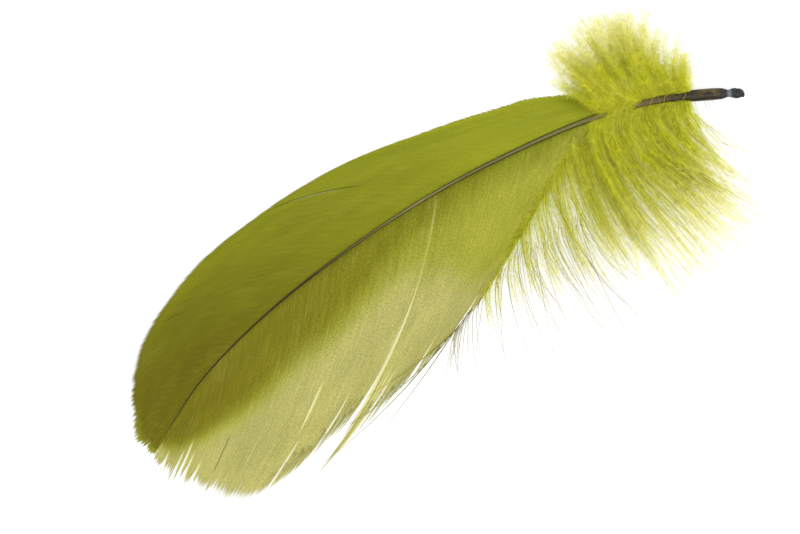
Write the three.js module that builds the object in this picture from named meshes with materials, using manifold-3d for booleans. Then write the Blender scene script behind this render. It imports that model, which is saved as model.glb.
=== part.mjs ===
// A loose goose quill feather, dyed lime green, lying on a table with its upper side up.
//
// Millimetres. X runs from the feather's tip to its quill, Z is up and +Y is the side of the
// narrower left web. Every piece is laid out along the shaft, by the distance from the tip.

import * as THREE from "three";
import { mergeVertices } from "three/addons/utils/BufferGeometryUtils.js";
import Module from "manifold-3d";

// ---- Driving dimensions -------------------------------------------------------------------

// The shaft's centre line: distance from the tip, then its place along, sideways and in height.
// It bows to the left and arches over the table, and the quill end comes down to lie on it.
const SHAFT_LINE = [
  [0, 0, 0, 0.9],
  [14, 12.6, 6.0, 2.5],
  [33.5, 31.4, 11.2, 4.7],
  [56.5, 54.2, 14.5, 6.2],
  [81, 78.5, 15.8, 6.5],
  [104, 101.3, 14.6, 5.4],
  [121, 118, 12.4, 3.7],
  [138, 134.2, 8.2, 1.9],
  [148, 143.7, 3.9, 1.42],
  [156.5, 151.3, 0, 1.3],
];

// The shaft's radius by the distance from the tip. The last rows are the bare quill, its pinch
// and the torn nub that is left of its root.
const SHAFT_RADIUS = [
  [0, 0.16],
  [24, 0.18],
  [41, 0.21],
  [62, 0.27],
  [82, 0.35],
  [97, 0.43],
  [112, 0.55],
  [121, 0.65],
  [128, 0.84],
  [135, 1.08],
  [142, 1.25],
  [149, 1.35],
  [151.6, 1.2],
  [153, 0.8],
  [154, 1.05],
  [156, 0.95],
];

// Each fan of barbs: distance of the root from the tip of the shaft, length of the barb from
// root to end, its lean away from the shaft's tip in degrees, and how far it turns on the way.
const LEFT_WEB = [
  [1, 6.5, 6, 3],
  [4, 9.4, 25, 6],
  [8, 12.4, 33, 8],
  [13, 15.8, 33, 10],
  [20, 20.8, 29, 12],
  [30, 27.5, 26.5, 12],
  [40, 32.6, 25.5, 12],
  [55, 37, 25.5, 12],
  [70, 39.3, 26.5, 12],
  [85, 32.5, 28, 12],
  [100, 29.8, 30, 12],
  [110, 20.5, 33, 10],
  [116.5, 15.5, 35, 8],
];
const RIGHT_WEB = [
  [1, 5.5, 4, 3],
  [5.7, 12.8, 9.8, 8],
  [12, 19.5, 18, 12],
  [20.6, 28.2, 24.4, 16],
  [39.4, 43.6, 31.2, 22],
  [56.5, 55, 34.1, 26],
  [70, 57.5, 37, 28],
  [83.5, 55.6, 40, 28],
  [93.6, 52.5, 42, 26],
  [103.7, 47.5, 43, 22],
  [113.7, 41.5, 43.5, 16],
  [118, 33, 46, 10],
];
const LEFT_DOWN = [
  [118.5, 12, 42, -4],
  [122.5, 17.5, 55, -8],
  [129, 21.5, 74, -20],
  [135, 20, 88, -28],
  [139, 14.5, 96, -34],
  [141, 9, 100, -34],
];
const RIGHT_DOWN = [
  [120, 44, 54, -8],
  [125, 45, 63, -14],
  [131, 43, 76, -22],
  [137, 38, 92, -32],
  [141.5, 30, 107, -40],
  [143.5, 22, 114, -40],
];

const WEB_THICKNESS = 0.5;
const WEB_ON_TABLE = 0.9; // share of a barb's length at which the web has come down to the table
const DOWN_HEIGHT = 8.5; // how far the down stands up above its roots
const DOWN_ROOT = 0.5; // half the height of the down where it leaves the shaft
const DOWN_EDGE = 0.9; // height of the down at the ends of its barbs
const DOWN_ON_TABLE = 0.35; // share of its length at which the down reaches the table
const CLEARANCE = 0.3; // gap between neighbouring pieces

// Where the right web has split between two barbs: root distance, and the share of the barb's
// length at which the split starts. It runs out through the edge.
const RIGHT_SPLITS = [
  [23, 0.7],
  [50.5, 0.68],
  [61, 0.74],
  [82.5, 0.06],
  [109, 0.62],
];
const SPLIT_WIDTH = 0.6;

const SHAFT_SIDES = 10;
const SHAFT_RINGS = 54;
const WEB_STEPS = { along: 52, across: 13 };
const DOWN_STEPS = { along: 12, across: 12 };

const COLOURS = {
  quill: new THREE.Color(0.16, 0.13, 0.08),
  leftWeb: new THREE.Color(0.22, 0.23, 0.02),
  rightWeb: new THREE.Color(0.36, 0.36, 0.09),
  down: new THREE.Color(0.46, 0.5, 0.07),
};

// ---- Helpers ------------------------------------------------------------------------------

// A function of the first column of rows that passes smoothly through their other columns.
function curveThrough(rows) {
  const width = rows[0].length - 1;
  const stations = rows.map((row) => row[0]);
  const values = rows.flatMap((row) => row.slice(1));
  const interpolant = new THREE.CubicInterpolant(stations, values, width);
  return (at) => [...interpolant.evaluate(at)];
}

const shaftPlace = curveThrough(SHAFT_LINE);
const shaftRadius = curveThrough(SHAFT_RADIUS);

// The shaft's centre there, with unit vectors towards the quill, to the right side and up.
function shaftFrame(distance) {
  const step = 0.25;
  const centre = new THREE.Vector3(...shaftPlace(distance));
  const ahead = new THREE.Vector3(...shaftPlace(distance + step));
  const behind = new THREE.Vector3(...shaftPlace(distance - step));
  const forward = ahead.sub(behind).normalize();
  const right = forward.clone().cross(new THREE.Vector3(0, 0, 1)).normalize();
  const up = right.clone().cross(forward);
  return { centre, forward, right, up };
}

function smoothStep(value) {
  return THREE.MathUtils.smoothstep(value, 0, 1);
}

// Moves each vertex of a geometry to place(x, y, z), and merges the doubles that are left.
function deform(geometry, place) {
  geometry.deleteAttribute("normal");
  geometry.deleteAttribute("uv");
  const position = geometry.getAttribute("position");
  for (let i = 0; i < position.count; i++) {
    const moved = place(position.getX(i), position.getY(i), position.getZ(i));
    position.setXYZ(i, moved.x, moved.y, moved.z);
  }
  return mergeVertices(geometry, 1e-3);
}

// The point at a share of the way along the barb that leaves the shaft at a distance from its
// tip. A barb is an arc of a circle, seen from above. Side is +1 to the left and -1 to the right.
function barbPoint(fan, side, distance, share) {
  const { centre, forward, right } = shaftFrame(distance);
  const [length, lean, turn] = fan(distance);
  const turned = THREE.MathUtils.degToRad(turn);
  const reach = (length * Math.sin((turned * share) / 2)) / Math.sin(turned / 2);
  const angle = THREE.MathUtils.degToRad(lean) + (turned * (1 - share)) / 2;
  const outward = right.clone().multiplyScalar(-side).setZ(0).normalize();
  const tipward = forward.clone().negate().setZ(0).normalize();
  return centre
    .setZ(0)
    .addScaledVector(outward, shaftRadius(distance)[0] + CLEARANCE)
    .addScaledVector(tipward, reach * Math.cos(angle))
    .addScaledVector(outward, reach * Math.sin(angle));
}

// A closed solid over a fan of barbs, between the heights that levels gives for a root distance,
// a share of the barb's length and a share of the fan's width.
function fanSolid(rows, side, steps, levels) {
  const fan = curveThrough(rows);
  const first = rows[0][0];
  const last = rows[rows.length - 1][0];
  const box = new THREE.BoxGeometry(1, 1, 1, steps.along, steps.across, 1);
  return deform(box, (x, y, z) => {
    const width = side > 0 ? 0.5 + x : 0.5 - x;
    const share = 0.5 + y;
    const distance = THREE.MathUtils.lerp(first, last, width);
    const point = barbPoint(fan, side, distance, share);
    const { bottom, top } = levels(distance, share, width);
    return point.setZ(z < 0 ? bottom : top);
  });
}

// ---- Pieces -------------------------------------------------------------------------------

// The quill and rachis: a turned shape bent along the centre line.
function shaftSolid() {
  const end = SHAFT_RADIUS[SHAFT_RADIUS.length - 1][0];
  const profile = [new THREE.Vector2(0, 0)];
  for (let i = 0; i <= SHAFT_RINGS; i++) {
    const distance = end * Math.pow(i / SHAFT_RINGS, 0.8);
    profile.push(new THREE.Vector2(shaftRadius(distance)[0], distance));
  }
  profile.push(new THREE.Vector2(0, end));
  return deform(new THREE.LatheGeometry(profile, SHAFT_SIDES), (x, y, z) => {
    const { centre, right, up } = shaftFrame(y);
    return centre.addScaledVector(right, x).addScaledVector(up, z);
  });
}

// A web: level where it leaves the shaft, drooping to lie flat on the table along its edge.
function webLevels(distance, share) {
  const root = shaftPlace(distance)[2] - WEB_THICKNESS / 2;
  const bottom = Math.max(0, root) * (1 - smoothStep(share / WEB_ON_TABLE));
  return { bottom, top: bottom + WEB_THICKNESS };
}

// Down: a low mound that sinks from the shaft to the table and stands up above it.
function downLevels(distance, share, width) {
  const root = shaftPlace(distance)[2];
  const bottom = Math.max(0, root - DOWN_ROOT) * (1 - smoothStep(share / DOWN_ON_TABLE));
  const mound = Math.sin(Math.PI * Math.pow(share, 0.75)) * Math.pow(Math.sin(Math.PI * width), 0.6);
  const skin = THREE.MathUtils.lerp(root + DOWN_ROOT, DOWN_EDGE, smoothStep(share));
  return { bottom, top: skin + DOWN_HEIGHT * mound };
}

const wasm = await Module();
wasm.setup();

function toManifold(geometry) {
  const vertProperties = geometry.getAttribute("position").array;
  const triVerts = new Uint32Array(geometry.index.array);
  return new wasm.Manifold(new wasm.Mesh({ numProp: 3, vertProperties, triVerts }));
}

function fromManifold(solid) {
  const mesh = solid.getMesh();
  const geometry = new THREE.BufferGeometry();
  geometry.setAttribute("position", new THREE.BufferAttribute(mesh.vertProperties, 3));
  geometry.setIndex(new THREE.BufferAttribute(mesh.triVerts, 1));
  geometry.computeVertexNormals();
  return geometry;
}

// The thin blade that stands in one split of the right web, along the barb beside it.
function splitBlade([distance, start]) {
  const fan = curveThrough(RIGHT_WEB);
  const past = 1.06;
  const height = 3 * SHAFT_LINE[4][3];
  return deform(new THREE.BoxGeometry(1, 1, 1, 1, 12, 1), (x, y, z) => {
    const opening = 0.5 + y;
    const share = THREE.MathUtils.lerp(start, past, opening);
    const along = distance - x * SPLIT_WIDTH * (0.4 + opening);
    return barbPoint(fan, -1, along, share).setZ(z * height);
  });
}

function splitWeb(geometry, splits) {
  const web = splits.reduce(
    (left, split) => left.subtract(toManifold(splitBlade(split))),
    toManifold(geometry),
  );
  return fromManifold(web);
}

function piece(name, geometry, colour, roughness) {
  const material = new THREE.MeshStandardMaterial({ color: colour, roughness, metalness: 0 });
  const mesh = new THREE.Mesh(geometry, material);
  mesh.name = name;
  return mesh;
}

// ---- The feather --------------------------------------------------------------------------

const leftWeb = fanSolid(LEFT_WEB, 1, WEB_STEPS, webLevels);
const rightWeb = splitWeb(fanSolid(RIGHT_WEB, -1, WEB_STEPS, webLevels), RIGHT_SPLITS);
const leftDown = fanSolid(LEFT_DOWN, 1, DOWN_STEPS, downLevels);
const rightDown = fanSolid(RIGHT_DOWN, -1, DOWN_STEPS, downLevels);

const feather = new THREE.Group();
feather.add(
  piece("shaft", shaftSolid(), COLOURS.quill, 0.45),
  piece("vane_left", leftWeb, COLOURS.leftWeb, 0.7),
  piece("vane_right", rightWeb, COLOURS.rightWeb, 0.7),
  piece("down_left", leftDown, COLOURS.down, 0.95),
  piece("down_right", rightDown, COLOURS.down, 0.95),
);

// The origin is on the table, under the middle of the feather's outline.
const outline = new THREE.Box3().setFromObject(feather);
const middle = outline.getCenter(new THREE.Vector3());
feather.position.set(-middle.x, -middle.y, -outline.min.z);

export default feather;
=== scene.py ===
"""A loose goose quill feather, dyed lime and olive, that lies with its upper side up."""

import logging
import math
from dataclasses import dataclass
from enum import Enum

import bmesh
import bpy
import numpy as np
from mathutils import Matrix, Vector, noise


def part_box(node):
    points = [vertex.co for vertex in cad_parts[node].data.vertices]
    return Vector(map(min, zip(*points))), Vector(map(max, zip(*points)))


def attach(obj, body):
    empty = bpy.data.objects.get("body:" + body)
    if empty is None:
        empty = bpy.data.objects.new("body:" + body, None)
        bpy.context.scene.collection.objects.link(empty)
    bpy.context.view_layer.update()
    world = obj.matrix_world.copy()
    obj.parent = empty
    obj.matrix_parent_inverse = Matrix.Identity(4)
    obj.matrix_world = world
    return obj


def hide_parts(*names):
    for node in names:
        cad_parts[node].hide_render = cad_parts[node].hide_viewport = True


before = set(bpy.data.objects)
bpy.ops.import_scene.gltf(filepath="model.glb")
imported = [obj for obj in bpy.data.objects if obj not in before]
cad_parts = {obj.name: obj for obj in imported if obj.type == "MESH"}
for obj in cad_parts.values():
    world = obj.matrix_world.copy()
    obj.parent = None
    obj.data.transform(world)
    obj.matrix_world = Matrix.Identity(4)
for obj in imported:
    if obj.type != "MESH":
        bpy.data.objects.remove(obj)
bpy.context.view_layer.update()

Array = np.ndarray
Colour = tuple[float, float, float]
Rows = tuple[tuple[float, ...], ...]
Stops = tuple[tuple[float, Colour], ...]
Socket = bpy.types.NodeSocket
Piece = bpy.types.Object

LOG = logging.getLogger("feather")
MM = 0.001
ROOT_BODY = "root"
UV_NAME = "OFBake"
UP = (0.0, 0.0, 1.0)
# Nearly all the numbers of a noise lie between these two.
NOISE_LOW, NOISE_HIGH = 0.3, 0.7
DYE_TINT: Colour = (0.85, 0.85, 0.3)
BARB_SHEEN, SHEEN_ROUGHNESS = 0.08, 0.45
# How far along the map the faces that close a strand reach.
CAP_ON_MAP = 0.004
# How far below the middle of the shaft the ground of its barbs is, in millimetres.
WEB_DROP = 0.25
HAIR_SECTION: Rows = ((-1.0, -0.5), (1.0, -0.5), (0.0, 1.0))
# The radius of the down's hairs and barbules and the lowest that they lie, in millimetres.
HAIR_RADIUS, BARBULE_RADIUS = 0.027, 0.03
LOWEST_HAIR, LOWEST_BARBULE = 0.08, 0.1
# How thick the softer stems are beside the others.
FINE_STEM = 0.7
# How wide a split gapes that shows only as a shade, beside an open one.
SHADED_GAPE = 0.2

# Distance from the tip along the shaft; along, sideways (towards the left web) and height, in millimetres.
SHAFT_LINE: Rows = (
    (0, 0, 0, 0.9), (14, 12.6, 6, 2.5), (33.5, 31.4, 11.2, 4.7), (56.5, 54.2, 14.5, 6.2),
    (81, 78.5, 15.8, 6.5), (104, 101.3, 14.6, 5.4), (121, 118, 12.4, 3.7), (138, 134.2, 8.2, 1.9),
    (148, 143.7, 3.9, 1.42), (156.5, 151.3, 0, 1.3),
)
SHAFT_LENGTH = SHAFT_LINE[-1][0]
# Distance from the tip; radius.
SHAFT_RADIUS: Rows = (
    (0, 0.07), (10, 0.11), (24, 0.15), (41, 0.2), (62, 0.27), (82, 0.35), (97, 0.43), (112, 0.55),
    (121, 0.65), (128, 0.84), (135, 1.08), (142, 1.25), (149, 1.35), (151.8, 1.22), (153.3, 0.84),
    (154.1, 1.08), (156.5, 1.03),
)
# Distance of a barb's root from the tip; its length, then its lean from the shaft and its turn along its
# length, in degrees.
LEFT_WEB: Rows = (
    (1, 6.7, -2, 3), (2.5, 8.3, 12, 6), (4, 10.3, 23, 8), (8, 13.4, 27, 14), (13, 16.6, 26, 20),
    (20, 21.6, 23.5, 26), (30, 28.5, 21.5, 31), (35, 31.7, 20.9, 32.2), (40, 34.6, 20.5, 33),
    (47, 37.9, 20.4, 33.6), (55, 40.9, 20.5, 34), (62.5, 43.1, 20.7, 34), (70, 44.3, 21, 34),
    (77.5, 43.6, 21.2, 34.6), (85, 41.6, 21.5, 35), (92.5, 39.2, 22.3, 34), (100, 35.9, 23.5, 32),
    (105, 32.0, 25, 28.5), (110, 26.8, 27, 24), (116.5, 18.5, 33, 16), (121, 14.5, 38, 10),
    (126, 9.5, 44, 4), (130.5, 6.5, 56, 0),
)
RIGHT_WEB: Rows = (
    (1, 6.2, -6, 3), (3, 8.6, 1, 5), (5.7, 12.8, 9.8, 8), (12, 19.5, 18, 12),
    (20.6, 27.7, 24.4, 16), (39.4, 43, 31.2, 22), (56.5, 53.8, 34.1, 26), (70, 54.8, 37, 28),
    (82.3, 52.8, 39.8, 28), (83.7, 55.2, 40, 28), (93.6, 53, 42, 26), (103.7, 47.5, 43, 22),
    (113.7, 41.5, 43.5, 16), (118, 33, 52, 4), (122, 27, 60, -4), (128, 20, 68, -8),
)
# Distance of a loose barb's root from the tip; its length, and its lean where it grows and at its end.
LEFT_DOWN: Rows = (
    (125, 15, 42, 56), (129, 21, 44, 64), (133, 23, 46, 74), (137, 21, 50, 84), (141, 16, 56, 96),
    (144.5, 11, 62, 108),
)
RIGHT_DOWN: Rows = (
    (122, 43, 52, 108), (125, 42, 48, 114), (129, 40, 46, 121), (132.5, 36.5, 46, 124),
    (136, 32, 48, 126), (140, 26, 52, 126), (144.5, 18, 60, 122),
)
QUILL_HAIRS: Rows = ((140, 10, 100, 0), (156, 10, 100, 0))


class Side(Enum):
    """The two sides of the shaft, seen from above with the tip ahead."""

    LEFT = 1
    RIGHT = -1


def smooth_step(value: Array) -> Array:
    """Returns value eased from 0 at 0 to 1 at 1."""
    held = np.clip(value, 0.0, 1.0)
    return held * held * (3.0 - 2.0 * held)


def unit(vectors: Array) -> Array:
    """Returns the vectors at length 1."""
    return vectors / np.maximum(np.linalg.norm(vectors, axis=-1, keepdims=True), 1e-12)


def headings(paths: Array) -> Array:
    """Returns the unit directions that strands (N, M, ...) run in at their points."""
    return unit(np.gradient(paths, axis=1))


def quarter_turn(level: Array) -> Array:
    """Returns level directions (..., 2) turned a quarter turn to the left."""
    return np.stack([-level[..., 1], level[..., 0]], -1)


def level_across(ahead: Array) -> Array:
    """Returns the level unit directions square to directions (..., 3)."""
    return unit(np.cross(ahead, UP))


def raised(plan: Array, height: Array) -> Array:
    """Returns the points of a plan (..., 2) at these heights."""
    return np.concatenate([plan, height[..., None]], -1)


def linked(name: str, data: bpy.types.ID) -> Piece:
    """Returns a new object with this data, linked to the scene."""
    made = bpy.data.objects.new(name, data)
    bpy.context.scene.collection.objects.link(made)
    return made


def from_bmesh(name: str, mesh: bmesh.types.BMesh) -> Piece:
    """Makes an object of a finished bmesh.

    Args:
        name: the object's name.
        mesh: its shape, which is freed.

    Returns:
        The object, linked to the scene.
    """
    data = bpy.data.meshes.new(name)
    mesh.to_mesh(data)
    mesh.free()
    return linked(name, data)


@dataclass(frozen=True)
class Curve:
    """A smooth curve through rows of numbers, each led by the distance that it stands at."""

    rows: Rows

    def at(self, distance: Array) -> Array:
        """Reads the curve.

        Args:
            distance: where to read it, in any shape.

        Returns:
            An array of that shape with one more axis, the columns of the rows.
        """
        table = np.asarray(self.rows, float)
        stations, values = table[:, 0], table[:, 1:]
        slopes = np.diff(values, axis=0) / np.diff(stations)[:, None]
        tangents = np.concatenate([slopes[:1], (slopes[1:] + slopes[:-1]) / 2, slopes[-1:]])
        held = np.clip(distance, stations[0], stations[-1])
        i = np.clip(np.searchsorted(stations, held, side="right") - 1, 0, len(stations) - 2)
        span = (stations[i + 1] - stations[i])[..., None]
        t = ((held - stations[i]) / span[..., 0])[..., None]
        return (
            (2 * t**3 - 3 * t**2 + 1) * values[i]
            + (t**3 - 2 * t**2 + t) * span * tangents[i]
            + (3 * t**2 - 2 * t**3) * values[i + 1]
            + (t**3 - t**2) * span * tangents[i + 1]
        )


@dataclass(frozen=True)
class ShaftLine:
    """The bowed line of the shaft and its thickness, in millimetres in the part's frame."""

    line: Curve = Curve(SHAFT_LINE)
    thickness: Curve = Curve(SHAFT_RADIUS)
    shift: tuple[float, float] = (0.0, 0.0)
    chord: float = 0.25

    def centre(self, distance: Array) -> Array:
        """Returns the points (..., 3) of the line at these distances from the tip."""
        return self.line.at(np.asarray(distance, float)) + np.array([*self.shift, 0.0])

    def radius(self, distance: Array) -> Array:
        """Returns the shaft's radius at these distances from the tip."""
        return self.thickness.at(np.asarray(distance, float))[..., 0]

    def quillward(self, distance: Array) -> Array:
        """Returns the unit directions (..., 3) that run on towards the quill."""
        distance = np.asarray(distance, float)
        return unit(self.line.at(distance + self.chord) - self.line.at(distance - self.chord))

    def tipward(self, distance: Array) -> Array:
        """Returns the level unit directions (..., 2) that run towards the tip."""
        return unit(-self.quillward(distance)[..., :2])

    def outward(self, distance: Array, side: Side) -> Array:
        """Returns the level unit directions (..., 2) square to the shaft on one side."""
        return quarter_turn(self.tipward(distance)) * -side.value

    @classmethod
    def in_frame(cls, samples: int = 600) -> "ShaftLine":
        """Places the line where the CAD shaft lies.

        Args:
            samples: how many rings of the shaft are measured.

        Returns:
            The line, shifted so that the box round its rings is the CAD shaft's box.
        """
        loose = cls()
        distance = np.linspace(0, SHAFT_LENGTH, samples)
        centre, forward = loose.centre(distance), loose.quillward(distance)
        reach = loose.radius(distance)[:, None] * np.sqrt(1 - forward[:, :2] ** 2)
        low, high = (centre[:, :2] - reach).min(0), (centre[:, :2] + reach).max(0)
        box_low, box_high = (np.array(corner)[:2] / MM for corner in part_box("shaft"))
        middle = (box_low + box_high) / 2 - (low + high) / 2
        return cls(shift=(float(middle[0]), float(middle[1])))


@dataclass(frozen=True)
class Fan:
    """The barbs that grow out of one side of the shaft, sunk into it by a share of its radius."""

    shaft: ShaftLine
    side: Side
    rows: Rows
    sunk: float = 0.45
    least_turn: float = 0.5

    def feet(self, distance: Array) -> Array:
        """Returns the points (..., 2) at which barbs leave the shaft."""
        out = self.shaft.outward(distance, self.side) * (self.shaft.radius(distance) * self.sunk)[..., None]
        return self.shaft.centre(distance)[..., :2] + out

    def heading(self, distance: Array, angle: Array) -> Array:
        """Returns the level directions (..., 2) that lean from the shaft by these angles."""
        ahead, out = self.shaft.tipward(distance), self.shaft.outward(distance, self.side)
        return ahead * np.cos(angle)[..., None] + out * np.sin(angle)[..., None]

    def plan(self, distance: Array, share: Array) -> Array:
        """Lays barbs out as seen from above.

        Args:
            distance: how far from the tip each barb is rooted, (N, 1).
            share: how far along its barb each point is, (N, M); past 1 a barb runs on.

        Returns:
            The points, (N, M, 2), in millimetres.
        """
        length, lean, turn = np.moveaxis(Curve(self.rows).at(distance), -1, 0)
        turned = np.radians(np.where(np.abs(turn) < self.least_turn, self.least_turn, turn))
        reach = length * np.sin(turned * share / 2) / np.sin(turned / 2)
        angle = np.radians(lean) + turned * (1 - share) / 2
        return self.feet(distance) + self.heading(distance, angle) * reach[..., None]

    def sweep(
        self, distance: Array, share: Array, swing: Array, quick: Array, fray: Array | float = 0.0
    ) -> Array:
        """Lays loose barbs out, which bend quickly near the shaft and then run on nearly straight.

        Args:
            distance: how far from the tip each barb is rooted, (N, 1).
            share: how far along its barb each point is, (N, M), from 0 on.
            swing: degrees added to the lean of each barb.
            quick: how quickly each bends.
            fray: degrees added little by little towards its end.

        Returns:
            The points, (N, M, 2), in millimetres.
        """
        length, first, last = np.moveaxis(Curve(self.rows).at(distance), -1, 0)
        lean = last - (last - first) * np.exp(-quick * share) + swing + fray * share**2
        heading = self.heading(distance, np.radians(lean))
        moves = (heading[:, 1:] + heading[:, :-1]) / 2 * (np.diff(share, axis=1) * length)[..., None]
        run = np.cumsum(moves, axis=1)
        return self.feet(distance) + np.concatenate([np.zeros_like(run[:, :1]), run], 1)


@dataclass
class Strands:
    """Many closed strands as one mesh, made from arrays."""

    paths: Array
    half_width: Array
    half_height: Array
    across: Array
    lift: Array
    u_centre: Array
    u_half: float
    v_along: Array
    section: Rows = ((-1, 0), (0, 1), (1, 0), (0, -1))
    crisp: bool = True

    def corners(self, section: Array) -> Array:
        """Puts a section at every point of the strands.

        Args:
            section: its corners, (C, 2), in half widths and half heights.

        Returns:
            The corners, (N, M, C, 3).
        """
        wide = (self.half_width[..., None] * section[:, 0])[..., None] * self.across[:, :, None]
        high = (self.half_height[..., None] * section[:, 1])[..., None] * self.lift[:, :, None]
        return self.paths[:, :, None] + wide + high

    def build(self, name: str, shades: dict[str, Array] | None = None) -> Piece:
        """Makes the mesh.

        Args:
            name: the piece's name.
            shades: numbers (N, M) kept on the points for the finish, by name.

        Returns:
            The finished object, at the origin.
        """
        section = np.asarray(self.section, float)
        points = self.corners(section)
        index = np.arange(points[..., 0].size).reshape(points.shape[:3])
        near, far = index[:, :-1], index[:, 1:]
        sides = np.stack([near, np.roll(near, -1, 2), np.roll(far, -1, 2), far], -1).reshape(-1, 4)
        loops = np.concatenate([sides.ravel(), index[:, 0, ::-1].ravel(), index[:, -1].ravel()])
        corners = len(section)
        sizes = np.concatenate([np.full(len(sides), 4), np.full(2 * len(index), corners)])
        u = self.u_centre[:, None, None] + self.u_half * section[:, 0] + 0 * index
        v = self.v_along[:, :, None] + 0 * index
        cap = CAP_ON_MAP * section[:, 1]
        start_v, end_v = v[:, 0, ::-1] + cap[::-1], v[:, -1] + cap
        loop_u = u.ravel()[loops]
        loop_v = np.concatenate([v.ravel()[sides.ravel()], start_v.ravel(), end_v.ravel()])
        flat = points.reshape(-1, 3)
        # The faces all look the same way, in or out. Where the volume they close is negative, they turn.
        a, b, c, d = np.moveaxis(flat[sides], 1, 0)
        if np.einsum("ij,ij->", a, np.cross(b, c) + np.cross(c, d)) < 0:
            first = np.repeat(np.cumsum(sizes) - sizes, sizes)
            order = 2 * first + np.repeat(sizes, sizes) - 1 - np.arange(len(loops))
            loops, loop_u, loop_v = loops[order], loop_u[order], loop_v[order]
        made = mesh_object(name, flat, loops, sizes, np.stack([loop_u, loop_v], -1), smooth=True)
        for key, values in (shades or {}).items():
            layer = made.data.attributes.new(key, "FLOAT", "POINT")
            layer.data.foreach_set("value", np.repeat(values.ravel(), corners).astype(np.float32))
        if self.crisp:
            ends = np.zeros(len(made.data.edges) * 2, np.int32)
            made.data.edges.foreach_get("vertices", ends)
            corner = ends.reshape(-1, 2) % corners
            sharp = made.data.attributes.new("sharp_edge", "BOOLEAN", "EDGE")
            sharp.data.foreach_set("value", corner[:, 0] == corner[:, 1])
        return made


def mesh_object(name: str, points: Array, loops: Array, sizes: Array, uv: Array, smooth: bool) -> Piece:
    """Makes an object from arrays.

    Args:
        name: the piece's name.
        points: its points in millimetres, (P, 3).
        loops: the point of each face corner.
        sizes: the number of corners of each face.
        uv: the place of each face corner on the piece's own map.
        smooth: whether its faces are shaded smoothly.

    Returns:
        The object, linked to the scene.
    """
    mesh = bpy.data.meshes.new(name)
    mesh.vertices.add(len(points))
    mesh.vertices.foreach_set("co", (points * MM).astype(np.float32).ravel())
    mesh.loops.add(len(loops))
    mesh.loops.foreach_set("vertex_index", loops.astype(np.int32))
    mesh.polygons.add(len(sizes))
    mesh.polygons.foreach_set("loop_start", (np.cumsum(sizes) - sizes).astype(np.int32))
    mesh.update(calc_edges=True)
    mesh.uv_layers.new(name=UV_NAME).data.foreach_set("uv", uv.astype(np.float32).ravel())
    mesh.polygons.foreach_set("use_smooth", np.full(len(sizes), smooth))
    mesh.update()
    return linked(name, mesh)


@dataclass
class Barbules:
    """Thousands of fine closed slivers on the stems of the down, as one mesh."""

    bases: Array
    directions: Array
    lengths: Array
    radius: Array
    u: Array
    v: Array
    u_half: float
    rise: float = 0.012

    def build(self, name: str) -> Piece:
        """Makes the slivers, each a slim closed pyramid of four faces.

        Args:
            name: the piece's name.

        Returns:
            The finished object, at the origin.
        """
        ahead = unit(self.directions)
        upright = np.abs(ahead[:, 2:]) > 0.9
        side = unit(np.cross(ahead, np.where(upright, [[1.0, 0, 0]], [UP])))
        top = np.cross(ahead, side)
        corners = []
        for turn in (math.pi / 2, math.pi * 7 / 6, math.pi * 11 / 6):
            rim = side * math.cos(turn) + top * math.sin(turn)
            corners.append(self.bases + rim * self.radius[:, None])
        corners.append(self.bases + ahead * self.lengths[:, None])
        points = np.stack(corners, 1).reshape(-1, 3)
        shape = np.array([[0, 2, 1], [0, 1, 3], [1, 2, 3], [2, 0, 3]])
        # Where the first sliver's faces look inwards, all of them turn.
        a, b, c = points[1] - points[0], points[3] - points[0], points[2] - points[0]
        if np.dot(np.cross(a, b), c) > 0:
            shape = shape[:, ::-1]
        faces = (np.arange(len(self.bases))[:, None, None] * 4 + shape).ravel()
        u = self.u[:, None] + self.u_half * np.array([-1.0, 1.0, 0.0, 0.25])
        v = self.v[:, None] + self.rise * np.array([0.0, 0.0, -0.6, 1.0])
        uv = np.stack([u, v], -1).reshape(-1, 2)[faces]
        return mesh_object(name, points, faces, np.full(len(self.bases) * 4, 3), uv, smooth=False)


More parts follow.
